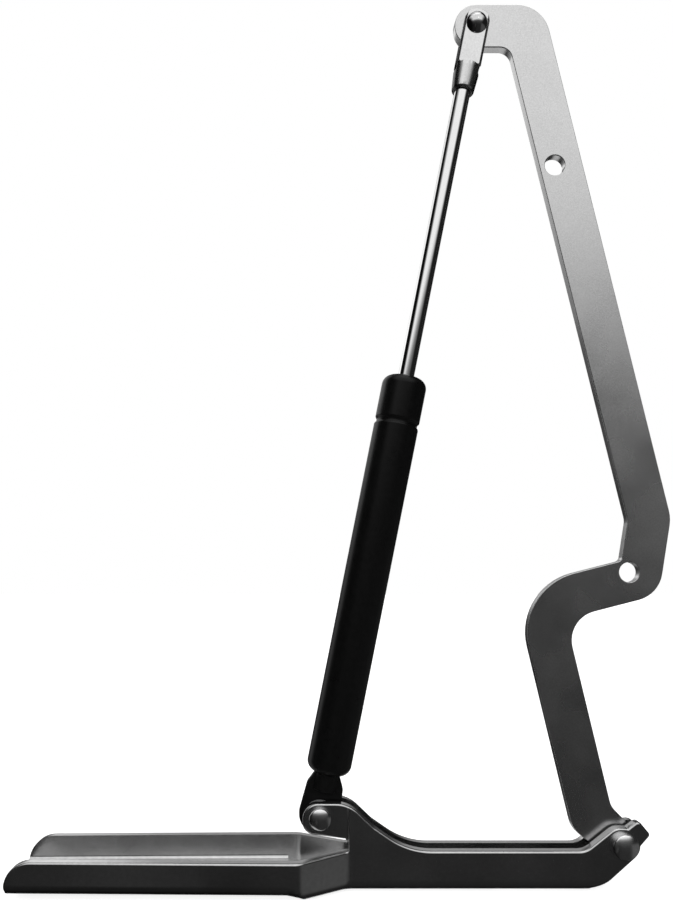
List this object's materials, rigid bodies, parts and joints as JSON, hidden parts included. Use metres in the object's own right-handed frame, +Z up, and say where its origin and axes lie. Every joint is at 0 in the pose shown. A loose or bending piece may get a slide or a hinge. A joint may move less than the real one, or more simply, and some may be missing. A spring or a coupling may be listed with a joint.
{
  "type": "lid stay",
  "caption": "Lid stay: a folded tray-shaped lever, a goosenecked crank arm and a small gas strut pinned in a triangle, so that the arm folds down over the lever.",
  "frame": {"origin": "on the underside of the lever's channel, in the middle plane, straight below the pivot of the gas strut", "axes": "+Z up along the raised arm, +X along the lever towards the arm's pivot, +Y across the sheets towards the back"},
  "size_m": [0.1756, 0.0244, 0.2372],
  "materials": {
    "lever_steel": "satin nickel-plated folded sheet",
    "arm_steel": "fine-grained bright steel plate",
    "rivet_steel": "soft polished",
    "tube_black": "gloss black",
    "eye_black": "satin black",
    "rod_chrome": "hard chrome, polished",
    "clevis_steel": "bright turned",
    "pin_steel": "polished",
    "seal_rubber": "matt",
    "guide_plastic": "matt",
    "inner_steel": "plain"
  },
  "bodies": {
    "lever": {"lever": "lever_steel", "strut_rivet": "rivet_steel", "arm_rivet": "rivet_steel", "strut_washer_front": "guide_plastic", "strut_washer_back": "guide_plastic", "arm_washer_front": "guide_plastic", "arm_washer_back": "guide_plastic"},
    "arm": {"crank_arm": "arm_steel"},
    "cylinder": {"strut_eye": "eye_black", "cylinder_tube": "tube_black", "seal_washer": "inner_steel", "rod_seal": "seal_rubber", "rod_guide": "guide_plastic"},
    "rod": {"piston_rod": "rod_chrome", "piston": "inner_steel", "piston_ring": "seal_rubber", "piston_nut": "inner_steel", "clevis": "clevis_steel", "clevis_pin_front": "pin_steel", "clevis_pin_back": "pin_steel"}
  },
  "joints": [
    {"name": "arm_fold", "type": "hinge", "parent": "lever", "child": "arm", "pos_m": [0.08032, 0, 0.0125], "axis": [0, -1, 0], "range_deg": [0, 71]},
    {"name": "strut_swing", "type": "hinge", "parent": "lever", "child": "cylinder", "pos_m": [0, 0, 0.0198], "axis": [0, -1, 0], "range_deg": [0, 89.95]},
    {"name": "rod_slide", "type": "slide", "parent": "cylinder", "child": "rod", "axis": [-0.1946, 0, -0.9809], "range_m": [0, 0.0739], "stiffness_N_per_m": 40, "springref_m": -0.25}
  ],
  "couplings": [
    {"joint": "strut_swing", "follows": "arm_fold", "ratio": 1.2668},
    {"joint": "rod_slide", "follows": "arm_fold", "m_per_rad": 0.059604}
  ]
}
